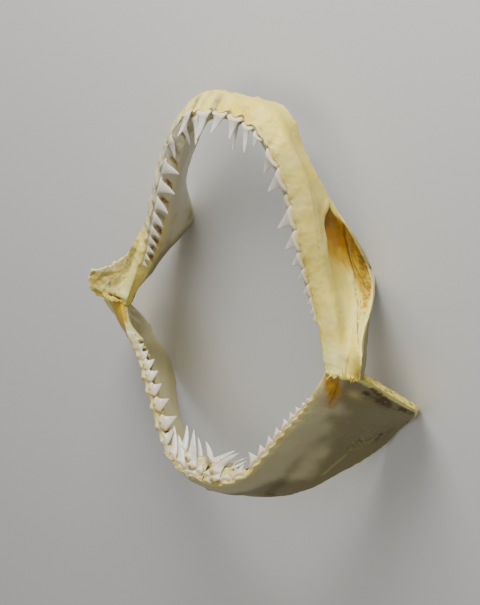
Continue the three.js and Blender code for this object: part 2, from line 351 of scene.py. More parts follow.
# Lines on the outer face: half width in millimetres, and points along and down it.
UPPER_LINES = {
    "floor ridge": (2.6, [(0.445, 0.97), (0.52, 0.86), (0.58, 0.8), (0.66, 0.78)]),
    "pocket": (3.5, [(0.5, 0.94), (0.58, 0.92), (0.66, 0.92), (0.74, 0.92)]),
    "seam": (0.9, [(0.27, 0.62), (0.35, 0.5), (0.42, 0.41), (0.5, 0.345), (0.57, 0.3),
                   (0.66, 0.25)]),
    "crack": (0.6, [(0.655, 0.81), (0.68, 0.825), (0.7, 0.815), (0.73, 0.84), (0.76, 0.835),
                    (0.79, 0.865), (0.82, 0.89), (0.86, 0.93)]),
    "side crack": (0.6, [(0.62, 0.86), (0.66, 0.875), (0.7, 0.86), (0.74, 0.88), (0.8, 0.875)]),
    "flakes": (3.0, [(0.6, 0.8), (0.7, 0.79), (0.8, 0.84), (0.9, 0.9)]),
    "crumbs": (3.2, [(0.55, 0.93), (0.6, 0.925), (0.66, 0.925), (0.72, 0.92), (0.77, 0.92)]),
    "split": (0.8, [(0.9, 0.7), (0.94, 0.66), (0.99, 0.62)]),
    "corner bar": (3.5, [(0.74, 0.12), (0.81, 0.09), (0.86, 0.075), (0.91, 0.05), (0.96, 0.06)]),
    "pleat": (2.2, [(0.78, 0.3), (0.84, 0.44), (0.9, 0.62), (0.94, 0.78)]),
    "valley": (2.4, [(0.77, 0.5), (0.84, 0.66), (0.9, 0.78), (0.93, 0.86)]),
    "side valley": (2.0, [(0.78, 0.18), (0.84, 0.26), (0.9, 0.42), (0.94, 0.55)]),
    "pale ridge": (2.0, [(0.41, 0.985), (0.44, 0.97), (0.48, 0.93)]),
    "lobe edge": (0.9, [(0.455, 0.93), (0.5, 0.87), (0.56, 0.83), (0.64, 0.815)]),
}
LIP = ([0.36, 0.402, 0.45, 0.5, 0.56, 0.618, 0.675, 0.72],  # the fossa's lip, along and down
       [1.0, 0.86, 0.68, 0.56, 0.47, 0.42, 0.46, 0.52])
# Place along the jaw, half width, and depth or height.
FRONT_HOLLOWS = ((0.062, 0.017, 1.0), (0.118, 0.01, 0.5), (0.16, 0.015, 1.0), (0.222, 0.013, 0.6))
NECK_WAY = np.array([0.761, -0.635, -0.134])  # from the inner to the outer face at the joint
NECK = 6.5  # millimetres the worn side's inner faces are drawn in there
RIM_TEARS = ((0.838, 0.006, 2.2), (0.882, 0.008, -1.6), (0.898, 0.006, 3.4))
TOOTH_HALF, GAP_HALF = 0.018, 0.013  # half widths of a tooth and of a gap, along t


def standing(files):
    """Places along the jaw of the teeth in the first row."""
    return sorted(file[0] for file in files if file[5] < 0.5)


def windows(teeth, t, strength):
    """The gaps between teeth where the next rows were shed."""
    between = [(a + b) / 2 for a, b in zip(teeth, teeth[1:]) if b - a > 0.03]
    return np.clip(strength * sum(hump(t, place, GAP_HALF) for place in between), 0, 1)


def upper_relief(skin, teeth, seed, worn):
    """Raises gum, ridges and hollows on an upper cartilage, and masks its colours. worn,
    0 to 1, is how far its corner has dried and torn and the flank by its teeth greyed."""
    outer, rim, inner, bed = (skin.part == k for k in range(4))
    t, v, rise, spot = skin.t, skin.v, skin.rise, skin.spot
    fine, broad = skin.rough(5, 3, seed), skin.rough(22, 2, seed + 7)
    low, grit = skin.rough(9, 3, seed + 3), skin.rough(3.0, 3, seed + 47)
    fibres = skin.streaks(2.2, 26, seed + 17)
    line = skin.near_lines(UPPER_LINES)

    # Muscle fossa: a sharp lip, a floor split in two by a ridge, and a thin rim.
    past_lip = (v - np.interp(t, *LIP)) * skin.depth()
    fossa = smooth(0, 3, past_lip) * stretch(t, 0.36, 0.4, 0.66, 0.8) * outer
    rise -= 2.6 * fossa * fade(0.8, 0.96, v)
    rise += 2.0 * spot(0.6, 0.92, 0.1, 0.05, part=2)
    rise += 0.9 * hump(past_lip, -2, 3) * stretch(t, 0.36, 0.42, 0.6, 0.75) * outer
    rise += 2.0 * line["floor ridge"] - 1.2 * line["pocket"]

    # A seam down the bar, cracks, flakes and crumbs under the rim, a split by the joint.
    crack = (line["crack"] + 0.7 * line["side crack"]) * smooth(-0.3, 0.1, fine)
    rise += line["flakes"] * (0.5 + 1.2 * np.maximum(skin.streaks(3, 8, seed + 43), 0))
    crumbs = line["crumbs"] * (1 - worn) * smooth(-0.45, 0.15, grit)
    rise += 0.9 * crumbs * smooth(-0.2, 0.5, grit)
    rise -= 0.5 * line["seam"] + 0.9 * crack + 1.0 * line["split"]

    # The margin is drawn up between two teeth and down along every root.
    at_tooth = skin.near_teeth(teeth, TOOTH_HALF)
    ahead = fade(0.18, 0.34, t)
    edge = outer * fade(0, 0.16, v)
    filled = (1 - worn) * hump(t, 0.21, 0.03)
    drawn = (1 - at_tooth) * (1.4 + 2.4 * ahead) * (1 - filled) - 0.8 * at_tooth + 0.9 * low
    skin.slip_down(drawn * (edge + bed * smooth(0.4, 1.0, v)) * fade(0.8, 0.88, t))
    rise += 0.35 * low * edge + bed * (0.5 * low - 0.8)

    # Roots of the front teeth show as swells above the margin, with hollows between, and
    # roots of the side teeth as lumps on the worn side.
    front = ahead * outer * stretch(v, 0.0, 0.08, 0.25 + 0.2 * worn, 0.45 + 0.2 * worn)
    dips = sum(depth * hump(t, place, half) for place, half, depth in FRONT_HOLLOWS)
    hollows = dips * outer * fade(0.02 + 0.16 * worn, 0.2 + 0.24 * worn, v + 0.08 * low)
    rise += front * (0.8 * at_tooth + 0.7 * low) - (1.2 + 1.7 * worn) * hollows
    skin.slip_down(bed * smooth(0.3, 0.9, v) * (1.5 + 0.8 * worn) * dips)
    flank_lumps = worn * outer * fade(0.4, 0.7, v) * stretch(t, 0.25, 0.35, 0.75, 0.85)
    rise += flank_lumps * (2.2 * at_tooth * fade(0, 0.3, v) + 1.5 * low)

    # Windows in the bed between the teeth, where the next rows were shed.
    window = windows(teeth, t, 1.2) * (bed * fade(0.45, 0.7, v) + inner * fade(0, 0.03, v))
    window *= smooth(0.25 - 0.08 * worn, 0.35 - 0.1 * worn, t)
    rise -= 2.0 * window
    shed = window * smooth(-0.7, 0.3, skin.rough(6, 2, seed + 29))

    # The corner by the joint: a pale ridge below the teeth, a bowl with folds, and a broken rim.
    corner = stretch(t, 0.74, 0.8, 0.955, 0.965) * outer * smooth(0.08, 0.2, v)
    bowl = corner * hump(v, 0.55, 0.3) * hump(t, 0.86, 0.065)
    folds = 1 - abs(skin.rough(11, 3, seed + 11)) * 2.4
    bar, pleat, valley = line["corner bar"], line["pleat"], line["valley"] + line["side valley"]
    lip = stretch(t, 0.925, 0.945, 0.955, 0.965) * outer
    under = smooth(0.957, 0.967, t) * outer
    facet = spot(0.91, 0.17, 0.03, 0.08)
    rise += worn * (1.5 * bar - 4.5 * bowl + 0.9 * corner * folds + 1.4 * pleat)
    rise += worn * (1.2 * facet - 1.6 * valley)
    rise += worn * (1.6 * lip - 1.8 * under * stretch(v, 0.04, 0.12, 0.8, 0.95))
    near_rim = rim + (outer + inner) * smooth(0.93, 1.0, v)
    torn = stretch(t, 0.7, 0.78, 0.95, 1.0)
    crumbled = torn * (1 + 1.2 * worn) * np.minimum(skin.rough(4.5, 3, seed + 5), 0.4)
    rise += near_rim * (crumbled + (1 - torn) * 0.5 * low)
    for place, half, height in RIM_TEARS:
        rise += near_rim * worn * height * hump(t, place, half)

    # The neck above the joint is drawn in on the worn side.
    drawn_in = inner * (0.35 + 0.65 * smooth(0, 0.15, v)) * fade(0.5, 0.85, v)
    drawn_in += 0.35 * bed * (1 - v)
    skin.slide += (NECK * worn * smooth(0.83, 0.93, t) * drawn_in)[..., None] * NECK_WAY

    # The ridge above the front teeth is highest in the middle, has small knobs, and sags
    # on the worn side.
    brow = rim + (outer + inner) * smooth(0.7, 0.95, v)
    rise += brow * (2.8 * hump(t, 0.005, 0.04) - 2.6 * worn * hump(t, 0.1, 0.05))
    for place, height in ((0.025 + 0.06 * worn, 1.8), (0.165, 1.4), (0.26, 1.2)):
        rise += near_rim * height * hump(t, place, 0.007)
    rise += 0.22 * fine + 0.7 * broad * fade(0.9, 1.0, t)

    # Amber where the floor of the fossa is thin, in two lobes that fade towards the joint,
    # darkest along the lip and golden at the far end.
    pale_ridge = line["pale ridge"] * fade(0.43, 0.48, t)
    thin_hem = (1 - worn) * spot(0.955, 0.93, 0.03, 0.05) * smooth(-0.2, 0.3, fibres)
    first = fossa * fade(0.53, 0.645, t + 0.025 * fibres + 0.1 * (0.62 - v)) * fade(0.84, 0.9, v)
    second = smooth(0.42, 0.46, t) * fade(0.62, 0.74, t - 0.5 * (v - 0.9) + 0.02 * fibres) * outer
    second = second * smooth(0.84, 0.88, v + 0.03 * smooth(0.5, 0.6, t)) * fade(0.95, 0.975, v)
    amber = (first + second) * (1 - pale_ridge) + 0.75 * crumbs + 0.6 * shed
    amber += worn * under * stretch(v, 0.06, 0.2, 0.75, 0.9) + 0.8 * thin_hem
    deep = first * (hump(past_lip, 2.5, 4) + 0.7 * fade(0.44, 0.52, t)) * fade(0.52, 0.6, t)
    deep += second * (0.3 + 0.9 * fibres) + 0.8 * crumbs * smooth(0.1, 0.4, grit)
    deep += line["lobe edge"] + worn * under * smooth(0, 0.5, low) + 0.7 * shed
    gold = smooth(0.48, 0.6, t - 0.08 * (v - 0.6) + 0.03 * low) * first + 0.9 * crumbs
    gold += second * (0.3 + 0.7 * smooth(0.56, 0.66, t))

    # Ochre along the margin, brown dirt in cracks, grey by the teeth, olive painted shade on the
    # inner face, ochre and olive painted shade in hollows, nearly white on edges, and a painted
    # pool of light in the fossa.
    yellow = (1 - 0.9 * worn) * edge * smooth(-0.4, 0.5, low + 0.5 * at_tooth)
    yellow *= smooth(0.1, 0.25, t)
    yellow += 0.15 * spot(0.7, 0.62, 0.06, 0.12) + 0.9 * spot(0.94, 0.93, 0.05, 0.1)
    # Painted shade in ochre in the worn corner's bowl, along its valleys and between its folds.
    yellow += worn * (corner * fade(0.1, 0.6, folds) + valley + 0.6 * bowl * smooth(-0.4, 0.4, low))
    yellow += bed * smooth(0, 0.5, low) * (0.15 + 0.35 * smooth(0.6, 0.75, t))
    # Painted shade in ochre in the hollows between the front roots.
    yellow += 0.8 * hollows * smooth(-0.6, 0.2, low)
    grime = 0.9 * crack + 0.45 * line["seam"] + 0.6 * line["split"] + 0.7 * line["lobe edge"]
    grime += 0.4 * window + 0.45 * worn * spot(0.905, 0.8, 0.02, 0.1) * smooth(-0.3, 0.4, low)
    grime += 0.55 * spot(0.56, 0.97, 0.09, 0.05) * smooth(-0.2, 0.4, low)
    grey = inner * fade(0.5, 0.95, t + 0.12 * broad) * (0.6 + 0.4 * smooth(0, 0.12, v))
    behind_front = 0.8 + 0.2 * smooth(0.1, 0.2, t)
    grey += 0.9 * bed * fade(0.55 + 0.15 * worn, 0.75 + 0.1 * worn, t) * behind_front
    grey += 0.65 * worn * outer * fade(0.4, 0.65, v) * stretch(t, 0.2, 0.3, 0.62, 0.76)
    grey += 0.7 * worn * edge * stretch(t, 0.12, 0.2, 0.5, 0.7)
    # Olive painted shade on the inner face towards the joint, and on the worn side in the corner
    # and in the hollows between the front roots.
    olive_shade = inner * smooth(0.5, 0.8, t + 0.1 * broad) * (0.5 + 0.6 * smooth(0, 0.2, v))
    olive_shade += worn * (0.8 * corner * (1 - facet) + 0.7 * hollows)
    bright = (1 - worn) * smooth(0.86, 0.93, t) * outer * fade(0.5, 0.75, v)
    bright += worn * (1.2 * facet + 0.8 * bar + 0.6 * lip + 0.5 * pleat)
    bright += (smooth(0.955, 0.975, v) * outer + rim) * smooth(0.4, 0.5, t) + pale_ridge
    # On the less worn side, besides the pale flakes, a painted pool of light lifts the shaded
    # concave face of the fossa near the joint.
    bright += (1 - worn) * (0.5 * line["flakes"] + 0.7 * spot(0.76, 0.6, 0.08, 0.12))
    return dict(amber=amber, deep=deep, gold=gold, yellow=yellow, grime=grime, grey=grey,
                bright=bright, olive_shade=olive_shade)


class Shade:
    """A socket of a material's nodes. Arithmetic on it adds Math nodes."""

    def __init__(self, tree, socket=None):
        self.tree, self.socket = tree, socket

    def node(self, kind, settings, values, output=0):
        made = self.tree.nodes.new("ShaderNode" + kind)
        for key, value in settings.items():
            setattr(made, key, value)
        for key, value in values.items():
            if isinstance(value, Shade):
                self.tree.links.new(value.socket, made.inputs[key])
            else:
                made.inputs[key].default_value = value
        return Shade(self.tree, made.outputs[output])

    def math(self, operation, a, b=0.0):
        return self.node("Math", {"operation": operation}, {0: a, 1: b})

    def __add__(self, other):
        return self.math("ADD", self, other)

    def __sub__(self, other):
        return self.math("SUBTRACT", self, other)

    def __rsub__(self, other):
        return self.math("SUBTRACT", other, self)

    def __mul__(self, other):
        return self.math("MULTIPLY", self, other)

    __radd__ = __add__

    def mask(self, name):
        return self.node("Attribute", {"attribute_name": name}, {}, 2)

    def noise(self, place, scale, detail=4.0, roughness=0.6):
        return self.node("TexNoise", {}, {"Vector": place, "Scale": scale, "Detail": detail,
                                          "Roughness": roughness})

    def band(self, low, high):
        """0 below low, 1 above high, smooth between."""
        return self.node("MapRange", {"interpolation_type": "SMOOTHSTEP"},
                         {0: self, 1: low, 2: high, 3: 0.0, 4: 1.0})

    def mix(self, amount, colour, other):
        return self.node("Mix", {"data_type": "RGBA"}, {0: amount, 6: colour, 7: other}, 2)

    def towards(self, amount, colour):
        """This colour mixed towards another."""
        return self.mix(amount, self, colour)

    def bump(self, strength, distance):
        return self.node("Bump", {}, {"Strength": strength, "Distance": distance, "Height": self})

    def feed(self, surface, name):
        self.tree.links.new(self.socket, surface.inputs[name])


def new_material(name):
    material = bpy.data.materials.new(name)
    material.use_nodes = True
    tree = material.node_tree
    return material, Shade(tree), tree.nodes["Principled BSDF"]


def let_light_in(surface, weight, radius, scale):
    surface.inputs["Subsurface Weight"].default_value = weight
    surface.inputs["Subsurface Radius"].default_value = radius
    surface.inputs["Subsurface Scale"].default_value = scale


def linear(red, green, blue):
    """A colour as a paint chart gives it, 0 to 255, as the shader wants it."""
    return tuple((c / 255) ** 2.2 for c in (red, green, blue)) + (1.0,)


CREAM = linear(238, 213, 84)
PALE_CREAM = linear(250, 240, 150)
OCHRE = linear(182, 158, 56)
AMBER = linear(190, 132, 8)
GOLD = linear(218, 178, 36)
DEEP_AMBER = linear(128, 92, 12)
BROWN = linear(78, 58, 26)
OLIVE_SHADE = linear(128, 117, 78)
SPECKS = 900  # to a metre


def cartilage_material(name, plain, patchy, dull):
    """Two plain colours in clouds, dull where masked grey, and the masks' colours, which paint
    shade and light in places as well as the cartilage's own colours.
    """
    material, shade, surface = new_material(name)
    place = shade.node("TexCoord", {}, {}, 3)
    cloud = shade.noise(place, 28.0, 5.0)
    grain = shade.noise(place, SPECKS / 4, 6.0, 0.7)
    speck = shade.noise(place, SPECKS, 3.0)
    masks = ("amber", "yellow", "grime", "grey", "bright", "olive_shade", "gold", "deep")
    amber, yellow, grime, grey, bright, olive_shade, gold, deep = (shade.mask(name) for name in masks)
    base = shade.mix(cloud.band(0.35, 0.7), plain, patchy)
    base = base.towards(grey * (0.75 + grain * 0.3), dull)
    # Olive painted shade, in part the lower plate's own colour.
    base = base.towards((olive_shade + cloud * 0.7 - 0.35).band(0.1, 0.95) * 0.9, OLIVE_SHADE)
    base = base.towards(bright * 0.85, PALE_CREAM)
    base = base.towards((yellow + grain * 0.5 - 0.25).band(0.15, 0.9) * 0.6, OCHRE)
    glow = (amber + cloud * 0.3 + grain * 0.3 - 0.3).band(0.05, 0.85)
    base = base.towards(glow, AMBER)
    base = base.towards(glow * (gold + grain * 0.5 - 0.25).band(0.1, 0.9), GOLD)
    dark = (deep + grain * 0.9 + cloud * 0.5 - 0.6).band(0.0, 0.8)
    base = base.towards(glow * dark * 0.85, DEEP_AMBER)
    base = base.towards((grime + cloud * 0.6 + speck * 0.2 - 0.4).band(0.1, 0.9) * 0.85, BROWN)
    base.feed(surface, "Base Color")
    (0.36 + grain * 0.22 + grime * 0.2).feed(surface, "Roughness")
    (grain * 0.6 + speck * 0.25).bump(0.35, 0.0008).feed(surface, "Normal")
    let_light_in(surface, 0.15, (1.0, 0.6, 0.25), 0.004)
    return material


upper_cartilage = cartilage_material("dried upper cartilage", CREAM, linear(236, 220, 124),
                                     linear(186, 183, 168))

# Each file of teeth: place along the margin, height, width, lean along the jaw, lean
# inward, all in millimetres, and rows in from the margin.
UPPER_TEETH = {
    "left": [
        [0.035, 21, 17, 2, 1, -0.1], [0.025, 27, 9, 3, 3, 1], [0.105, 25, 12, 8, 4, 0],
        [0.165, 11, 10, 4, 2, 0], [0.255, 22, 17, 9, 3, -0.1], [0.335, 26, 20, 9, 0, -0.1],
        [0.4, 13, 12, 8, 4, 0.4],
        [0.465, 26, 20, 10, 2, -0.1], [0.542, 21, 18, 9, 2, -0.1], [0.607, 16, 16, 6, 1, 0],
        [0.662, 13, 14, 4, 1, 0], [0.714, 11, 12, 3, 1, 0], [0.752, 9, 10, 2, 1, 0],
        [0.782, 7, 9, 2, 0, 0], [0.808, 5, 8, 1, 0, 0],
    ],
    "right": [
        [0.03, 20, 13, 8, 2, -0.2], [0.09, 26, 13, 8, 3, -0.3], [0.138, 26, 9, 6, 3, 0.4],
        [0.158, 17, 12, 16.5, -3, -0.55], [0.21, 15, 9, 8, 4, 0.6], [0.305, 12, 12, 14, 0, -0.2],
        [0.412, 19, 15, -3, 0, -0.15], [0.486, 20, 15, -1, 0, -0.1], [0.552, 15.5, 13, 4, 0, 0.1],
        [0.612, 11.5, 12, 4, 0, 0.2], [0.664, 10, 10, 3, 0, 0.1], [0.706, 8.5, 9, 2, 1, 0],
        [0.742, 7.5, 8, 1, 1, 0], [0.773, 6, 7, 1, 0, 0], [0.8, 5, 6, 1, 0, 0],
    ],
}

UPPER_WEAR = {"left": (3.0, 0.15), "right": (41.0, 1.0)}  # seed of the relief, and how worn

for side in ("left", "right"):
    skin = upper_skin()
    masks = upper_relief(skin, standing(UPPER_TEETH[side]), *UPPER_WEAR[side])
    piece = skin_piece(f"upper_cartilage_{side}", skin, side == "right", masks, upper_cartilage)
    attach(piece, "root")
    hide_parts(f"upper_jaw_{side}")

# ---- Lower jaw: two Meckel's cartilages ------------------------------------------
# Each is a deep plate under the tooth bed, widest below the joint, where its rear
# border flares to take the jaw muscle. Seen against the light it is a dull grey.
LOWER = {
    "margin": [[0, 14, -146], [22, 11, -146], [42, 8, -138], [58, 8, -124], [72, 4, -105],
               [95, -3, -70], [113, -8, -43], [127, -18, -23], [139, -25, 4]],
    "swell": [[0, 24, -153], [24, 26, -151], [46, 27, -141], [66, 26, -123], [88, 22, -96],
              [110, 18, -68], [132, 12, -43], [150, -2, -22], [166, -16, 2]],
    "hollow": [[0, 30, -155], [28, 42, -151], [56, 52, -138], [82, 56, -114], [106, 60, -88],
               [130, 60, -62], [156, 48, -38], [180, 26, -18], [187, 12, -6]],
    "ventral": [[0, 34, -155], [22, 44, -151], [46, 62, -145], [66, 76, -135], [86, 82, -121],
                [106, 84, -103], [126, 90, -82], [143, 96, -60], [161, 90, -38], [183, 74, -23],
                [203, 45, -14]],
}
FRONT_BED, TOOTH_BED, JOINT_BED, PLATE, CORNER = 24, 13, 7, 5, 35  # thicknesses, millimetres
LOWER_ROUNDED = 0.8, 0.8  # millimetres each face stops short of the margin and rim
LINGUAL = np.array([-0.5, 0.86, 0.1])  # way from the outer to the inner face

LOWER_TEETH = {
    "left": [
        [0.03, 20, 13, 2, 2, 0], [0.025, 20, 11, 13, 6, 1.6], [0.077, 22, 13, 24, 6, 0.8],
        [0.09, 17, 12, 8, 2, 0], [0.157, 6, 9, 19, 4, 2.0], [0.175, 6, 9, 18, 2, 1.3],
        [0.15, 14, 12, 12, 6, 0], [0.235, 13, 12, 8, 5, 0], [0.345, 13, 14, -1, -2, 0],
        [0.408, 11, 13, 1, 1, 0], [0.47, 10.5, 12, 2, 2, 0], [0.53, 10, 12, 2, 2, 0],
        [0.595, 9.5, 11, 1, 2, 0], [0.647, 8, 10, 1, 0, 0], [0.692, 7, 9, 0, 0, 0],
        [0.735, 5, 8, 0, 0, 0], [0.77, 4, 7, 0, 0, 0],
    ],
    "right": [
        [0.034, 34, 10, 17, 4, 0.1], [0.012, 18, 10, 14, 2, 1.6], [0.008, 6, 11, -2, -27, 1.6],
        [0.074, 33, 10, 15, 4, 0.5], [0.06, 19, 12, 13, 0, -0.4], [0.143, 19, 13, 24, 2, 0],
        [0.193, 17, 10, 19, 3, 1.3], [0.12, 25, 9, 14, 3, 1.1], [0.21, 16, 11, 27, 2, -0.1],
        [0.235, 4, 9, 16, -5, -0.1], [0.3, 12, 12, 6, -2, 0], [0.37, 13.5, 14, 2, 0, 0.49],
        [0.464, 11, 13, 2, 0, 0.49], [0.542, 9, 12, 3, 0, 0.38], [0.611, 8.5, 11, 2, 0, 0.42],
        [0.667, 8, 10, 3, 0, 0.42], [0.715, 6, 9, 3, 0, 0.25], [0.755, 5.4, 8, 2, 0, 0.16],
        [0.79, 5, 7, 0, 1, 0], [0.82, 4, 6, 0, 1, 0],
    ],
}


def lower_skin(worn=0.0):
    """worn, 0 to 1, is how far the inner face is drawn in to a slim neck below the joint."""
    t = np.linspace(0, 1, RINGS)
    rails = {k: at(centripetal(LOWER[k]), t) for k in LOWER}
    ahead = unit(np.gradient(rails["margin"], axis=0)) + unit(np.gradient(rails["ventral"], axis=0))
    square = unit(np.cross(ahead, rails["ventral"] - rails["margin"]))
    steer = (0.5 * smooth(0, 0.4, t) + 0.5 * smooth(0.7, 0.95, t))[:, None]
    inward = unit(square * (1 - steer) + LINGUAL * steer)[:, None]
    outer, v = face(list(rails.values()), OUTER_POINTS, *LOWER_ROUNDED)
    inner, inner_v = face(list(rails.values()), INNER_POINTS, *LOWER_ROUNDED)
    along = t[:, None]
    row = FRONT_BED + (TOOTH_BED - FRONT_BED) * smooth(0.05, 0.35, along)
    row += (JOINT_BED - TOOTH_BED) * smooth(0.78, 0.9, along)
    bed = PLATE + (row - PLATE) * fade(0, 0.45, inner_v)
    border = (CORNER - PLATE) * smooth(0.80, 1, along) * smooth(0.1, 0.5, inner_v)
    inner = inner + inward * (bed + border)[..., None]
    skin = Cartilage(outer, v, inner, inner_v, 2.0, 1.5, False)
    drawn_in = (skin.part == 2) * hump(skin.v, 0.48, 0.2) * smooth(0.905, 0.95, skin.t)
    skin.grid += (NECK * worn * drawn_in)[..., None] * NECK_WAY
    return skin


# Lines on the outer face: half width in millimetres, and points along and down it.
LOWER_LINES = {
    "hollow": (9, [(0.22, 0.74), (0.318, 0.612), (0.445, 0.513), (0.588, 0.45), (0.72, 0.42)]),
    "crease": (1.0, [(0.44, 0.875), (0.5, 0.825), (0.57, 0.785)]),
    "patch": (12, [(0.77, 0.27), (0.82, 0.23), (0.885, 0.18), (0.93, 0.12), (0.975, 0.06)]),
}
# Blotches by the rear corner: places along and down the face, half sizes, and depth. The
# last is a painted shadow along the border at the joint end.
CORNER_STAINS_AND_SHADOW = ((0.94, 0.635, 0.034, 0.085, 1.7), (0.926, 0.485, 0.018, 0.035, 1.6),
                (0.936, 0.88, 0.026, 0.11, 1.3), (0.978, 0.55, 0.016, 0.1, 1.2))
ROOT_HALF = 0.026  # half width of a root's swell, along t


def lower_relief(skin, teeth, seed, worn):
    """Raises gum, creases and hollows on a lower cartilage, and masks its colours. worn,
    0 to 1, is how far its flank by the joint has dried to amber and its roots stand out."""
    outer, rim, inner, bed = (skin.part == k for k in range(4))
    t, v, rise, spot = skin.t, skin.v, skin.rise, skin.spot
    fine, broad = skin.rough(5, 3, seed), skin.rough(24, 2, seed + 7)
    low, clouds = skin.rough(9, 3, seed + 3), skin.rough(11, 4, seed + 31)
    fibres = skin.streaks(2.5, 30, seed + 17)
    line = skin.near_lines(LOWER_LINES)

    # A long hollow down the plate, a crease and scars below it, a dent by the joint.
    veins = np.clip(1 - 7 * abs(skin.streaks(6, 24, seed + 61)), 0, 1)
    scarred = spot(0.65, 0.75, 0.1, 0.12)
    rise += 0.8 * line["crease"] - 2.2 * line["hollow"] - 0.8 * scarred * veins
    rise += 1.2 * hump(t, 0.985, 0.012) * outer * smooth(0.2, 0.4, v)
    rise -= 2.4 * spot(0.93, 0.5, 0.03, 0.16)

    # The margin rises and falls with the teeth, and the worn side's roots swell outwards.
    at_tooth = skin.near_teeth(teeth, TOOTH_HALF)
    edge = (outer + inner) * fade(0, 0.13, v)
    toothed = fade(0.8, 0.88, t)
    rise += (edge + 0.4 * bed) * (at_tooth - 0.8 + 1.1 * low) * toothed
    rise -= bed * fade(0.7, 0.85, t)
    drawn = 2 - 3 * at_tooth + low
    skin.slip_down(drawn * (outer * fade(0, 0.13, v) + bed * smooth(0.4, 1.0, v)) * toothed)
    on_roots = worn * toothed * smooth(0.25, 0.35, t)
    root_foot = outer * fade(0, 0.12, v)
    outward = on_roots * (bed * smooth(0.3, 0.7, v) + root_foot)
    rise += outward * (1.8 * skin.near_teeth(teeth, ROOT_HALF) - 0.6)
    front = fade(0.12, 0.3, t)
    rise += 1.2 * front * (edge + bed) * skin.rough(7, 3, seed + 23)

    window = windows(teeth, t, 1.3) * (inner * fade(0.16, 0.24, v) + bed * fade(0.3, 0.6, v))
    window *= smooth(0.2, 0.3, t)
    rise -= 3.0 * window
    near_rim = rim + (outer + inner) * smooth(0.95, 1.0, v)
    rise += near_rim * 0.7 * np.minimum(skin.rough(6, 3, seed + 5), 0.3)
    rise += 0.25 * fine * (1 + 2 * smooth(0.9, 1.0, t)) + 0.8 * broad * fade(0.85, 0.98, v)

    # Grey where the plate is bare, olive towards the rear and low on the front, partly the plate's
    # own colour and partly painted shade where it turns away from the light, and cream again at the
    # joint.
    fresh = fade(0.955 - 0.15 * worn, 0.99 - 0.04 * worn, t + 0.06 * worn * low)
    grey = outer * smooth(0.04, 0.14, v + 0.03 * low) + 0.85 * inner * smooth(0.3, 0.45, v)
    grey += 0.45 * on_roots * (bed * smooth(0.3, 0.6, v) + root_foot)
    grey += worn * inner * smooth(0.06, 0.14, v) * smooth(0.78, 0.88, t)
    grey *= 1 - (1 - fresh) * outer
    olive_shade = smooth(0.35, 0.75, t + 0.9 * (v - 0.55) + 0.1 * broad) * smooth(0.12, 0.35, v) * fresh
    olive_shade = outer * (olive_shade + fade(0.25, 0.4, t) * smooth(0.3, 0.6, v))

    # Amber by the joint on either side, and in short streaks elsewhere.
    patch = (1 - worn) * line["patch"] * (0.5 + 0.5 * hump(t, 0.905, 0.055))
    amber = patch * smooth(-1.2, -0.1, fibres)
    amber += worn * spot(0.4, 0.28, 0.05, 0.1, part=2) * smooth(-0.4, 0.3, fibres)
    amber += 0.5 * (1 - worn) * spot(0.925, 0.62, 0.015, 0.08) * smooth(-0.2, 0.3, low)
    amber += worn * stretch(t, 0.8, 0.9, 0.96, 1.0) * fade(0.14, 0.5, v + 0.05 * fibres) * outer
    amber += worn * stretch(t, 0.86, 0.92, 0.97, 1.0) * bed * smooth(0.35, 0.6, v)
    deep = 0.75 * patch * smooth(-0.1, 0.5, fibres)

    # Ochre in the gum, brown dirt and stains with a painted shadow by the joint, and nearly white
    # on edges.
    yellow = 0.6 * edge * fade(0.02, 0.06, v) * smooth(0, 0.6, low + 0.4 * at_tooth)
    yellow += 0.8 * bed * smooth(0.1, 0.6, low) + 0.4 * patch
    yellow += 0.5 * front * (edge * fade(0.03, 0.08, v) + bed) * smooth(-0.2, 0.5, broad)
    grime = 0.5 * line["hollow"] * fade(0.36, 0.7, t) + 0.7 * scarred * veins + 0.9 * window
    grime += 0.5 * outer * smooth(0.6, 0.75, t) * smooth(0.84, 0.98, v) * smooth(0, 0.5, fibres)
    # Stains, and a painted shadow along the border at the joint end.
    stains_and_shadow = sum(depth * spot(*blotch) for *blotch, depth in CORNER_STAINS_AND_SHADOW)
    stains_and_shadow += 0.6 * spot(0.905, 0.4, 0.012, 0.07) * smooth(-0.5, 0.3, low)
    grime += (1 - worn) * stains_and_shadow * smooth(-1.2, 0.5, clouds + 0.9 * fine)
    grime += 0.5 * spot(0.72, 0.86, 0.09, 0.07) * smooth(-0.1, 0.3, clouds)
    grime += 0.7 * spot(0.2, 0.9, 0.05, 0.12) * smooth(-0.2, 0.4, low)
    bright = 0.7 * smooth(0.97, 0.995, t) * outer + 0.35 * line["crease"]
    bright += 0.4 * (1 - worn) * spot(0.9, 0.4, 0.02, 0.06)
    bright += 0.2 * scarred * np.roll(veins, 3, 1)
    bright += 0.3 * inner * hump(v, 0.28, 0.04) * smooth(0.4, 0.5, t)
    return dict(amber=amber, gold=(0.5 + 0.3 * worn) * amber, deep=deep, yellow=yellow,
                grime=grime, grey=grey, olive_shade=olive_shade, bright=bright)


LOWER_WEAR = {"left": (11.0, 0.0), "right": (53.0, 1.0)}  # seed of the relief, and how worn
lower_cartilage = cartilage_material("dried lower cartilage", linear(226, 208, 124),
                                     linear(224, 212, 146), linear(190, 182, 142))

for side in ("left", "right"):
    skin = lower_skin(LOWER_WEAR[side][1])
    masks = lower_relief(skin, standing(LOWER_TEETH[side]), *LOWER_WEAR[side])
    piece = skin_piece(f"lower_cartilage_{side}", skin, side == "right", masks, lower_cartilage)
    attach(piece, "root")
    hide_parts(f"lower_jaw_{side}")

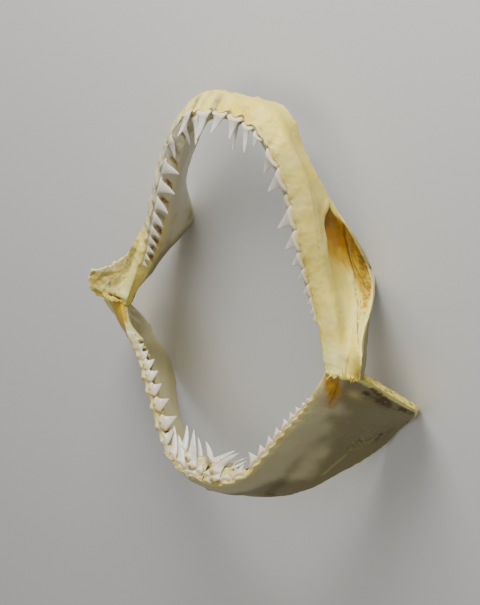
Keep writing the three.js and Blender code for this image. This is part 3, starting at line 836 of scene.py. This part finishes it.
# ---- Teeth -------------------------------------------------------------------------
# Slender blades with smooth edges, flat outside and rounded inside, each on a root of
# two lobes set in the gum. Behind the standing tooth of each file lie its successors.
BITE = {  # way the teeth point at the front and at the sides of each jaw
    "upper": (np.array([0, 0.1, -1]), np.array([-1, 0.1, 0])),
    "lower": (np.array([0, 0.25, 1]), np.array([-0.6, 0.15, 0.8])),
}
ROOT, ROW_STEP = 6.5, 9  # a root's depth and the way from row to row, millimetres
INSET = {"upper": 6.0, "lower": 3.2}  # how far in a root at the margin leans, millimetres
REACH = 13  # millimetres less of that for each row that its tooth stands further in
LIFT = {"upper": 0.12, "lower": 0.32}  # the crown's foot above the gum, against its height
LIFTED = 16  # millimetres of height past which it stands no further out
BEND = 1.35  # above 1, a leaning crown starts upright and bends more towards its tip
SEAT = {"upper": 1.6, "lower": 2.6}  # first row's place behind the margin, millimetres
TURN = {"upper": (0.05, 0.35), "lower": (0.16, 0.42)}  # where the bite turns from front to side
OUTSIDE, INSIDE = 0.26, 0.5  # a crown's thickness on either face, against half its width
LOBES = 1.12  # a root's width against its tooth's
FULL_ROOT = 12  # millimetres of width from which a root is full depth
ROOT_LEVELS, CROWN_LEVELS, TOOTH_SIDES = 7, 12, 16
CROWN_PLACES = [0, 0.08, 0.2, 0.4, 0.6, 0.8, 0.92, 1]
BROAD_CROWN = [1.12, 0.94, 0.78, 0.57, 0.39, 0.21, 0.1, 0.012]  # width up a side tooth
SLENDER_CROWN = [1.2, 0.88, 0.68, 0.56, 0.46, 0.3, 0.16, 0.012]  # width up a front tooth


def tooth(root, along, up, out, height, width, lean, back, inset):
    """Points of one tooth in rings from its root to its tip, and how far up each is."""
    levels = np.concatenate([np.linspace(-1, 0, ROOT_LEVELS + 1)[:-1],
                             np.linspace(0, 1, CROWN_LEVELS) ** 0.9])
    angle = np.arange(TOOTH_SIDES) * 2 * math.pi / TOOTH_SIDES
    c, s = np.cos(angle), np.sin(angle)
    depth = ROOT * min(1, width / FULL_ROOT)
    slender = smooth(1.4, 2.2, math.hypot(height, lean, back) / width)
    points = []
    for level in levels:
        crown, below = max(level, 0), max(-level, 0)
        broad = np.interp(crown, CROWN_PLACES, BROAD_CROWN)
        narrow = np.interp(crown, CROWN_PLACES, SLENDER_CROWN)
        blade = broad * (1 - slender) + narrow * slender
        lobes = math.sqrt(max(1 - below**3, 0.04))
        lobes *= 1 + 0.15 * math.sin(min(below * 2, 1) * math.pi)
        half = (blade if level >= 0 else LOBES * lobes) * width / 2
        thick = half * np.where(s > 0, OUTSIDE, INSIDE + 0.2 * smooth(0, 0.4, below))
        sink = -depth * below * (0.45 + 0.55 * abs(c))
        swing = lean * along - back * out
        ahead = unit(up * height + swing * BEND * crown ** (BEND - 1))
        side = unit(along - ahead * (along @ ahead))
        face_way = np.cross(side, ahead)
        face_way = face_way * np.sign(face_way @ out)
        bow = 0.06 * abs(height) * math.sin(crown * math.pi)  # the tip turns outward again
        middle = root + up * crown * height + swing * crown ** BEND - out * (bow + inset * below)
        points.append(middle + np.outer(sink, up) + np.outer(c * half, side)
                      + np.outer(s * thick, face_way))
    return np.array(points), levels


def row_frames(jaw, curve, gum, files):
    """Where and how each tooth of a table stands on the tooth bed."""
    bite = BITE[jaw]
    for place, height, width, lean, back, row in files:
        edge = at(curve, [place])[0]
        along = unit(at(curve, [min(place + 0.005, 1)])[0] - at(curve, [max(place - 0.005, 0)])[0])
        lingual = unit(at(gum, [place])[0] - edge)
        up = bite[0] + (bite[1] - bite[0]) * smooth(*TURN[jaw], place)
        up = unit(up - along * (up @ along))
        out = unit(np.cross(along, up))
        out = -out if out @ lingual > 0 else out
        root = edge + lingual * (SEAT[jaw] + ROW_STEP * row)
        root += up * LIFT[jaw] * min(height, LIFTED)
        inset = INSET[jaw] - (REACH * max(row, 0) if row < 0.5 else 0)
        yield root, along, up, out, height, width, lean, back, inset


def tooth_row(name, frames, mirrored, material):
    points, faces, crown = [], [], []
    for frame_of_tooth in frames:
        rings, levels = tooth(*frame_of_tooth)
        faces += ring_faces(len(levels), TOOTH_SIDES, len(points))
        points += list(rings.reshape(-1, 3))
        crown += list(np.repeat(levels, TOOTH_SIDES))
    piece = mesh_piece(name, laid(np.array(points), mirrored), faces, {"crown": crown}, material)
    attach(piece, "root")


def enamel_material():
    material, shade, surface = new_material("tooth")
    place = shade.node("TexCoord", {}, {}, 3)
    crown = shade.mask("crown")
    streak = shade.noise(place, 350.0, 4.0)
    cloud = shade.noise(place, 60.0, 3.0)
    base = shade.mix(cloud.band(0.35, 0.65), linear(238, 233, 219), linear(224, 212, 192))
    bare = (crown + streak * 0.14).band(0.0, 0.12)
    base = base.towards(1 - (crown + streak * 0.2).band(-0.04, 0.18), linear(234, 216, 172))
    base = base.towards((1 - (crown + streak * 0.3).band(-0.5, 0.06)) * 0.28, OCHRE)
    base.feed(surface, "Base Color")
    (0.5 - bare * 0.28 + streak * 0.1).feed(surface, "Roughness")
    (streak * 0.5).bump(0.25, 0.0005).feed(surface, "Normal")
    let_light_in(surface, 0.1, (1.0, 0.8, 0.6), 0.002)
    return material


enamel = enamel_material()
upper_curve, upper_gum = centripetal(UPPER["margin"]), centripetal(UPPER["gum"])
lower_curve = centripetal(LOWER["margin"])
lower_gum = lower_skin().grid[:, OUTER_POINTS + RIM_POINTS + INNER_POINTS - 1]
for side in ("left", "right"):
    for jaw, curve, gum, files in (("upper", upper_curve, upper_gum, UPPER_TEETH[side]),
                                   ("lower", lower_curve, lower_gum, LOWER_TEETH[side])):
        frames = row_frames(jaw, curve, gum, files)
        tooth_row(f"{jaw}_teeth_{side}", frames, side == "right", enamel)

# ---- Joint tissue ----------------------------------------------------------------
# What is left of the capsule round each jaw joint: a dried, wrinkled strap over the
# slit between the two cartilages, with torn shreds standing off it.
STRAPS = (("left", -0.5, 5), ("right", 3.5, 19))  # millimetres above the slit, and seed
STRAP_HALF, WRINKLE = 2.6, 1.8  # millimetres
SHRED_LENGTH, SHRED_HALF = (4, 8), (1.1, 0.15)  # millimetres, and from foot to tip
STRAP_SIDES, STRAP_STEPS, SHREDS, SHRED_STEPS = 14, 60, 9, 6
PAD_THICK, PAD_LUMP = 1.3, 1.3  # millimetres
PAD_REACH = 0.3, 0.985  # from and to, down the faces
PAD_STEPS, PAD_ROWS = 70, 26


def tube(line, radii, flatness, away):
    """A closed tube down a line, thinner along away than across it."""
    ahead = unit(np.gradient(line, axis=0))
    away = unit(away - ahead * (away * ahead).sum(1, keepdims=True))
    across = np.cross(ahead, away)
    angle = np.arange(STRAP_SIDES) * 2 * math.pi / STRAP_SIDES
    radii = np.broadcast_to(radii, (STRAP_SIDES, len(line))).T
    rings = (line[:, None] + across[:, None] * (radii * np.cos(angle))[..., None]
             + away[:, None] * (flatness * radii * np.sin(angle))[..., None])
    return rings.reshape(-1, 3), ring_faces(len(line), STRAP_SIDES)


def end_pad(skin, seed):
    """A lumpy, closed blanket over the end of the lower cartilage behind the joint."""
    ends, v, edges = skin.grid[-1], skin.v[-1], []
    for part in (0, 2):
        chosen = np.nonzero(skin.part[-1] == part)[0]
        chosen = chosen[np.argsort(v[chosen])]
        edges.append(between(np.linspace(*PAD_REACH, PAD_STEPS), v[chosen], ends[chosen])[:, None])
    across = np.linspace(0, 1, PAD_ROWS)[None, :, None]
    flat = edges[0] * (1 - across) + edges[1] * across
    lumps = fractal(flat / 5 + np.array([seed, 0, 0]), 4, 0.8)
    hem = np.sin(np.linspace(0, math.pi, PAD_ROWS)) ** 0.5
    hem = hem * np.sin(np.linspace(0.05, math.pi - 0.05, PAD_STEPS))[:, None] ** 0.3
    spread = (flat - flat.mean(1, keepdims=True)) * 0.06
    top = flat + JOINT_NORMAL * (hem * (PAD_THICK + PAD_LUMP * lumps))[..., None] + spread
    bottom = flat - JOINT_NORMAL - spread
    points = np.concatenate([top.reshape(-1, 3), bottom.reshape(-1, 3)])
    low = PAD_STEPS * PAD_ROWS
    index = np.arange(low).reshape(PAD_STEPS, PAD_ROWS)
    corners = index[:-1, :-1], index[:-1, 1:], index[1:, 1:], index[1:, :-1]
    sheet = np.stack(corners, -1).reshape(-1, 4)
    rim = np.concatenate([index[0], index[1:, -1], index[-1, -2::-1], index[-2:0:-1, 0]])
    after = np.roll(rim, -1)
    hems = np.stack([rim, rim + low, after + low, after], -1)
    return points, np.concatenate([sheet, sheet[:, ::-1] + low, hems]).tolist()


joint_skin = upper_skin()
slit = joint_skin.grid[-1, 2:OUTER_POINTS + 2]
middle = joint_skin.grid[-1].mean(0)
for side, lifted, seed in STRAPS:
    chance = np.random.default_rng(seed)
    line = at(slit, np.linspace(0.02, 0.98, STRAP_STEPS))
    away = unit(line - middle)
    round_it = np.linspace(0, 1.5, STRAP_SIDES)[:, None, None]
    wrinkles = fractal(line / 4 + away * round_it, 3, 0.8)
    ends = np.sin(np.linspace(0, math.pi, STRAP_STEPS)) ** 0.4
    line += JOINT_NORMAL * lifted
    parts = [tube(line, (STRAP_HALF + WRINKLE * wrinkles) * ends + 0.1, 0.5, away)]
    for _ in range(SHREDS):
        k = chance.integers(1, STRAP_STEPS - 1)
        way = away[k] * 0.5 + JOINT_NORMAL * chance.uniform(-0.8, 1.0)
        way = unit(way + chance.normal(0, 0.4, 3))
        length = chance.uniform(*SHRED_LENGTH)
        shred = np.outer(np.linspace(-0.2, 1, SHRED_STEPS), way) * length
        shred += line[k]
        shred += np.outer(np.linspace(0, 1, SHRED_STEPS) ** 2, chance.normal(0, 1.2, 3))
        thins = np.linspace(*SHRED_HALF, SHRED_STEPS)
        parts.append(tube(shred, thins, 0.45, np.tile(away[k], (SHRED_STEPS, 1))))
    parts.append(end_pad(lower_skin(LOWER_WEAR[side][1]), seed))
    points = np.concatenate([part for part, _ in parts])
    starts = np.cumsum([0] + [len(part) for part, _ in parts])
    faces = [[i + start for i in f] for start, (_, own) in zip(starts, parts) for f in own]
    spots = fractal(points / 5, 3, 0.8)
    masks = {"yellow": np.clip(0.5 + spots, 0, 1), "grime": np.clip(spots * 1.2 - 0.1, 0, 1)}
    place = laid(points, side == "right")
    piece = mesh_piece(f"joint_tissue_{side}", place, faces, masks, upper_cartilage)
    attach(piece, "root")

# ---- Studio --------------------------------------------------------------------
# A pale floor, a large soft light from the top of the picture and a weak one from
# its left side.
FLOOR_SIZE = 12.0  # metres

bpy.ops.object.select_all(action="DESELECT")
bpy.ops.mesh.primitive_plane_add(size=FLOOR_SIZE)
floor = bpy.context.object
floor.name = "floor"
paper, shade, surface = new_material("pale paper")
tint = shade.noise(shade.node("TexCoord", {}, {}, 3), 3.0)
shade.mix(tint, linear(208, 207, 204), linear(214, 213, 210)).feed(surface, "Base Color")
surface.inputs["Roughness"].default_value = 0.9
floor.data.materials.append(paper)


def soft_light(name, right, upward, towards, width, power):
    """A square lamp placed by the picture's own right, up and nearness, in metres."""
    data = bpy.data.lights.new(name, "AREA")
    data.size, data.energy = width, power
    lamp = bpy.data.objects.new(name, data)
    bpy.context.scene.collection.objects.link(lamp)
    spot = ACROSS * right + UPRIGHT * upward + BACK * towards
    aim = spot.to_track_quat("Z", "Y").to_matrix().to_4x4()
    lamp.matrix_world = Matrix.Translation(JOINT_LINE + spot) @ aim


soft_light("key", -0.35, 1.25, 0.9, 0.8, 36)
soft_light("fill", -1.2, -0.1, 1.2, 1.2, 6)
world = bpy.data.worlds.new("studio")
bpy.context.scene.world = world
world.use_nodes = True
world.node_tree.nodes["Background"].inputs["Color"].default_value = (1.0, 0.98, 0.95, 1)
world.node_tree.nodes["Background"].inputs["Strength"].default_value = 0.28
